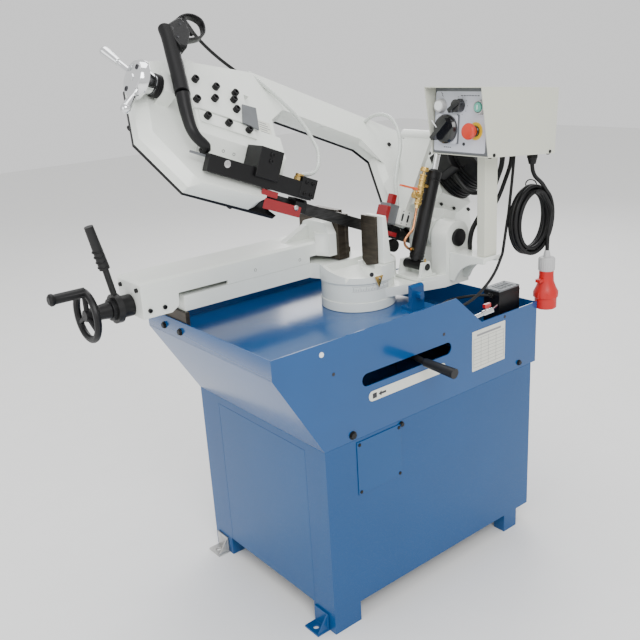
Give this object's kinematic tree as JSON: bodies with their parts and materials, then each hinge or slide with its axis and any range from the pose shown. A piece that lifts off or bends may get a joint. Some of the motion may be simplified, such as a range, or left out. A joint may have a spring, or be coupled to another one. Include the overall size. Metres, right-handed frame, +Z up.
{
  "type": "band saw",
  "caption": "Swivel-head metal-cutting band saw with a tilted bow on a sheet-steel cabinet, a quick vice, coolant tray, hydraulic feed cylinder and a raised control box.",
  "frame": {"origin": "centre of the footprint at floor level, measured without the free mains lead", "axes": "+X along the blade from the vice handwheel to the bow pivot, +Y from the operator's side across the machine, +Z up"},
  "size_m": [1.2626, 0.6459, 1.3753],
  "materials": {
    "blue_sheet": "gloss blue powder coat",
    "cast_white": "satin off-white paint on castings",
    "cream_sheet": "satin cream paint on sheet steel",
    "black_paint": "satin black paint",
    "black_plastic": "black plastic",
    "panel_grey": "satin printed foil on sheet",
    "lamp": "clear white lens",
    "green_plastic": "green push button",
    "red_plastic": "red plastic",
    "steel": "ground steel",
    "dark_steel": "oiled dark steel",
    "chrome": "polished chrome plate",
    "brass": "machined brass",
    "rubber": "black rubber sheath",
    "cast_iron": "machined cast iron"
  },
  "bodies": {
    "base": {"cabinet": "blue_sheet", "front_panel": "blue_sheet", "access_cover": "blue_sheet", "foot_front_near": "steel", "foot_front_far": "steel", "tray": "blue_sheet", "turntable_base": "cast_white", "swivel_spindle": "steel", "vice_bed": "cast_white", "support_plate": "dark_steel", "near_jaw": "cast_white", "near_jaw_plate": "dark_steel", "far_jaw": "dark_steel", "screw_nut": "brass", "angle_stop": "blue_sheet", "coolant_pump": "black_paint", "tap_body": "chrome"},
    "vice_slide": {"vice_beam": "cast_white", "moving_jaw": "dark_steel", "screw_housing": "black_paint"},
    "handwheel": {"vice_handwheel": "black_paint"},
    "quick_lever": {"quick_lever": "black_paint"},
    "lock_lever": {"swivel_lock_lever": "black_paint"},
    "tap_lever": {"tap_lever": "red_plastic"},
    "arm": {"swivel_arm": "cast_white", "pivot_shaft": "black_paint", "cylinder_clevis": "cast_white", "post_bracket": "cast_white", "control_post": "cream_sheet", "control_box": "cream_sheet", "control_panel": "panel_grey", "pilot_lamp": "lamp", "mains_gland": "black_plastic", "mains_lead": "rubber", "lead_coil": "rubber", "mains_plug": "red_plastic"},
    "selector": {"selector_knob": "black_plastic"},
    "start": {"start_button": "green_plastic"},
    "isolator": {"isolator_knob": "black_plastic"},
    "stop": {"emergency_stop": "red_plastic"},
    "cylinder": {"cylinder_barrel": "black_paint", "flow_valve": "brass"},
    "valve_knob": {"valve_knob": "brass"},
    "cock_lever": {"cock_lever": "red_plastic"},
    "rod": {"cylinder_rod": "chrome"},
    "bow": {"bow_frame": "cast_white", "band_blade": "dark_steel", "guide_clamp": "black_paint", "rear_guide": "dark_steel", "gearbox": "cast_white", "drive_motor": "black_paint", "pistol_grip": "black_paint"},
    "cover": {"wheel_cover": "black_paint"},
    "guide": {"guide_arm": "black_paint", "front_guide": "dark_steel"},
    "tension_slide": {"tension_block": "cast_white"},
    "tension_screw": {"tension_screw": "chrome"},
    "idler": {"idler_wheel": "cast_iron"},
    "drive": {"drive_wheel": "cast_iron"},
    "trigger": {"trigger": "black_plastic"}
  },
  "joints": [
    {"name": "swivel", "type": "hinge", "parent": "base", "child": "arm", "pos_m": [0.1087, 0.0558, 0.716], "axis": [0, 0, 1], "range_deg": [0, 45]},
    {"name": "lock_lever_turn", "type": "hinge", "parent": "base", "child": "lock_lever", "pos_m": [0.1087, 0.0558, 0.61], "axis": [0, 0, 1], "range_deg": [-25, 18]},
    {"name": "tap_turn", "type": "hinge", "parent": "base", "child": "tap_lever", "pos_m": [0.2987, -0.2022, 0.66], "axis": [0, 0, 1], "range_deg": [0, 90]},
    {"name": "vice_travel", "type": "slide", "parent": "base", "child": "vice_slide", "axis": [1, 0, 0], "range_m": [-0.15, 0.01]},
    {"name": "vice_screw_turn", "type": "hinge", "parent": "vice_slide", "child": "handwheel", "pos_m": [-0.5553, 0.1748, 0.772], "axis": [1, 0, 0], "continuous": true},
    {"name": "quick_lever_turn", "type": "hinge", "parent": "vice_slide", "child": "quick_lever", "pos_m": [-0.4883, 0.1748, 0.772], "axis": [1, 0, 0], "range_deg": [-60, 10]},
    {"name": "bow_lift", "type": "hinge", "parent": "arm", "child": "bow", "pos_m": [0.3227, 0.0038, 0.815], "axis": [0, 1, 0], "range_deg": [-21.5, 0]},
    {"name": "cylinder_tilt", "type": "hinge", "parent": "arm", "child": "cylinder", "pos_m": [0.2407, -0.0162, 0.75], "axis": [0, 1, 0], "range_deg": [-16.32, 0]},
    {"name": "rod_travel", "type": "slide", "parent": "cylinder", "child": "rod", "axis": [0.3123, 0, 0.95], "range_m": [-0.0254, 0]},
    {"name": "valve_turn", "type": "hinge", "parent": "cylinder", "child": "valve_knob", "pos_m": [0.27674, -0.0202, 0.98447], "axis": [0.3123, 0, 0.95], "range_deg": [0, 270]},
    {"name": "cock_turn", "type": "hinge", "parent": "cylinder", "child": "cock_lever", "pos_m": [0.24307, -0.0202, 0.94291], "axis": [0.3123, 0, 0.95], "range_deg": [0, 90]},
    {"name": "selector_turn", "type": "hinge", "parent": "arm", "child": "selector", "pos_m": [0.24333, -0.1652, 1.14366], "axis": [-0.9969, 0, 0.0785], "range_deg": [-45, 45]},
    {"name": "isolator_turn", "type": "hinge", "parent": "arm", "child": "isolator", "pos_m": [0.23925, -0.1342, 1.09182], "axis": [-0.9969, 0, 0.0785], "range_deg": [0, 90]},
    {"name": "start_press", "type": "slide", "parent": "arm", "child": "start", "axis": [0.9969, 0, -0.0785], "range_m": [0, 0.003], "stiffness_N_per_m": 400, "springref_m": -0.002},
    {"name": "stop_press", "type": "slide", "parent": "arm", "child": "stop", "axis": [0.9969, 0, -0.0785], "range_m": [0, 0.004]},
    {"name": "cover_open", "type": "hinge", "parent": "bow", "child": "cover", "pos_m": [0.16997, 0.31527, 1.14213], "axis": [0.9304, 0, -0.3665], "range_deg": [0, 90]},
    {"name": "guide_travel", "type": "slide", "parent": "bow", "child": "guide", "axis": [0.9304, 0, -0.3665], "range_m": [0, 0.12]},
    {"name": "tension_turn", "type": "hinge", "parent": "bow", "child": "tension_screw", "pos_m": [-0.38899, 0.13835, 1.24563], "axis": [0.9304, 0, -0.3665], "range_deg": [0, 720]},
    {"name": "tension_travel", "type": "slide", "parent": "bow", "child": "tension_slide", "axis": [0.9304, 0, -0.3665], "range_m": [0, 0.0041]},
    {"name": "idler_spin", "type": "hinge", "parent": "tension_slide", "child": "idler", "pos_m": [-0.23315, 0.16113, 1.13377], "axis": [0.2404, -0.7547, 0.6104], "continuous": true},
    {"name": "drive_spin", "type": "hinge", "parent": "bow", "child": "drive", "pos_m": [0.46001, 0.16113, 0.86072], "axis": [0.2404, -0.7547, 0.6104], "continuous": true},
    {"name": "trigger_pull", "type": "hinge", "parent": "bow", "child": "trigger", "pos_m": [-0.23468, 0.20198, 1.3618], "axis": [-0.2404, 0.7547, -0.6104], "range_deg": [0, 8], "stiffness_Nm_per_rad": 0.5, "springref_deg": -5.73}
  ],
  "couplings": [
    {"joint": "cylinder_tilt", "follows": "bow_lift", "ratio": 0.74433},
    {"joint": "rod_travel", "follows": "bow_lift", "m_per_rad": 0.066334},
    {"joint": "tension_travel", "follows": "tension_turn", "m_per_rad": 0.00031831},
    {"joint": "idler_spin", "follows": "drive_spin", "ratio": 1}
  ]
}
